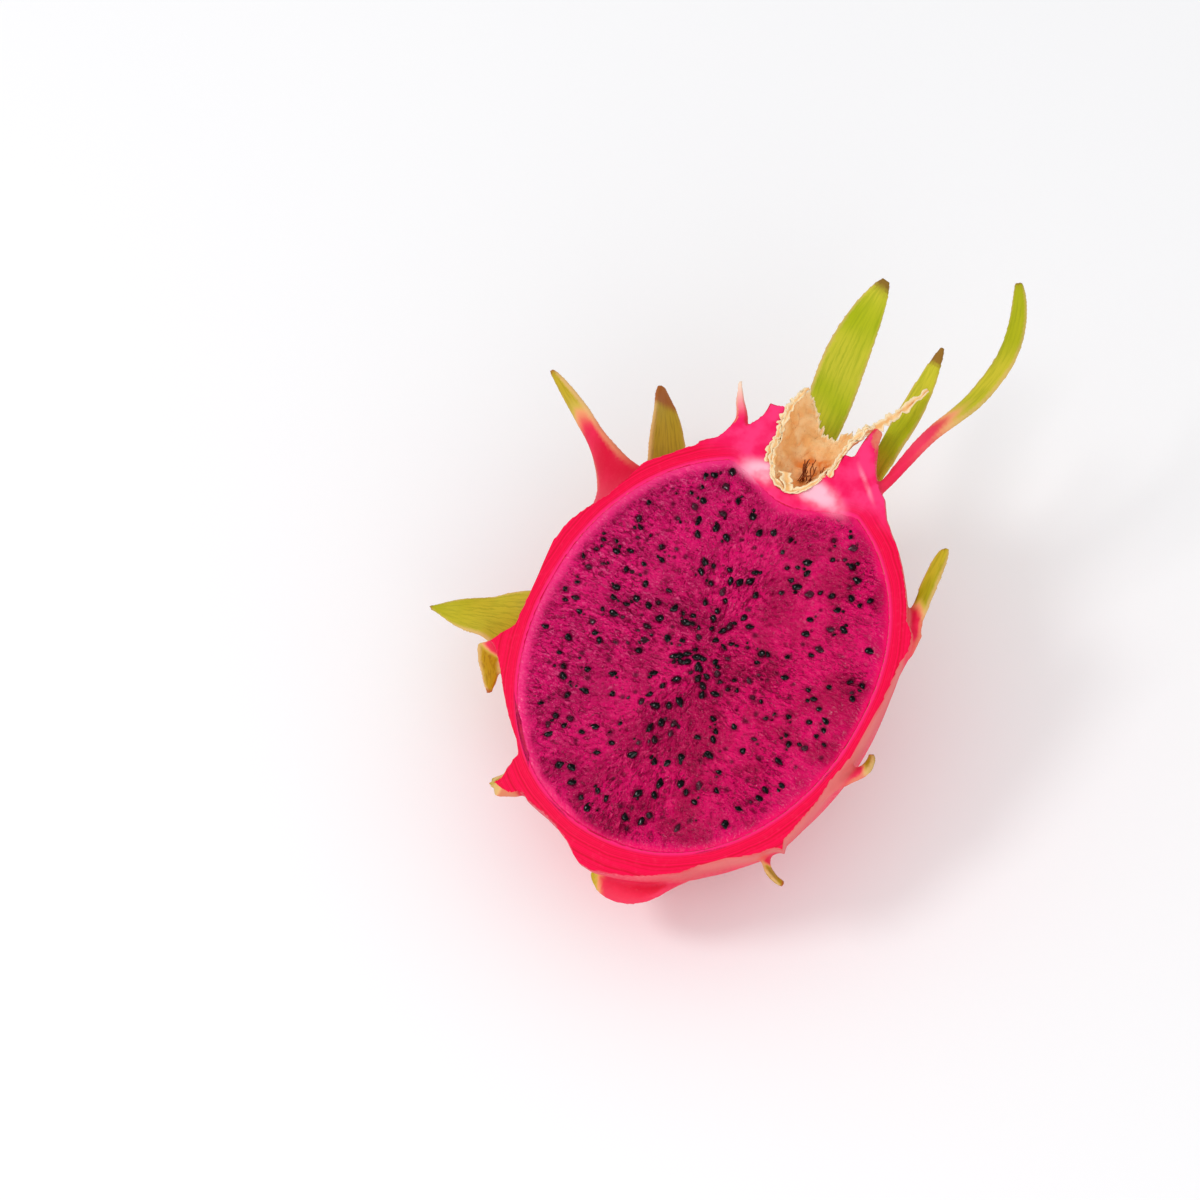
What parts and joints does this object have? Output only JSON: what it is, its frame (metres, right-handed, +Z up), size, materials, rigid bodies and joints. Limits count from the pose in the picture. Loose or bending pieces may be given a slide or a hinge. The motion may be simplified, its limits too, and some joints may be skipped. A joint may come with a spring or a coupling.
{
  "type": "half dragon fruit",
  "caption": "Half of a ripe red-fleshed dragon fruit, cut lengthwise, lying on its skin with leafy scales and a dried flower cup.",
  "frame": {"origin": "on the resting surface, under the middle of the part's bounding box", "axes": "+Z up; +Y towards the flower end with its long green leaves; +X towards the right-hand cut edge, seen from the stem end"},
  "size_m": [0.122, 0.1732, 0.0703],
  "materials": {
    "peel": "waxy crimson-pink skin with a fine pale pebble, scales fading to olive green at their tips",
    "flesh": "wet magenta pulp, cut with a knife, finely streaked, glossy",
    "dried_flower": "dry, papery, crinkled tan with frayed cream edges",
    "seeds": "small glossy black seeds set in the pulp"
  },
  "bodies": {
    "root": {"peel": "peel", "flesh": "flesh", "dried_flower": "dried_flower"}
  },
  "joints": []
}
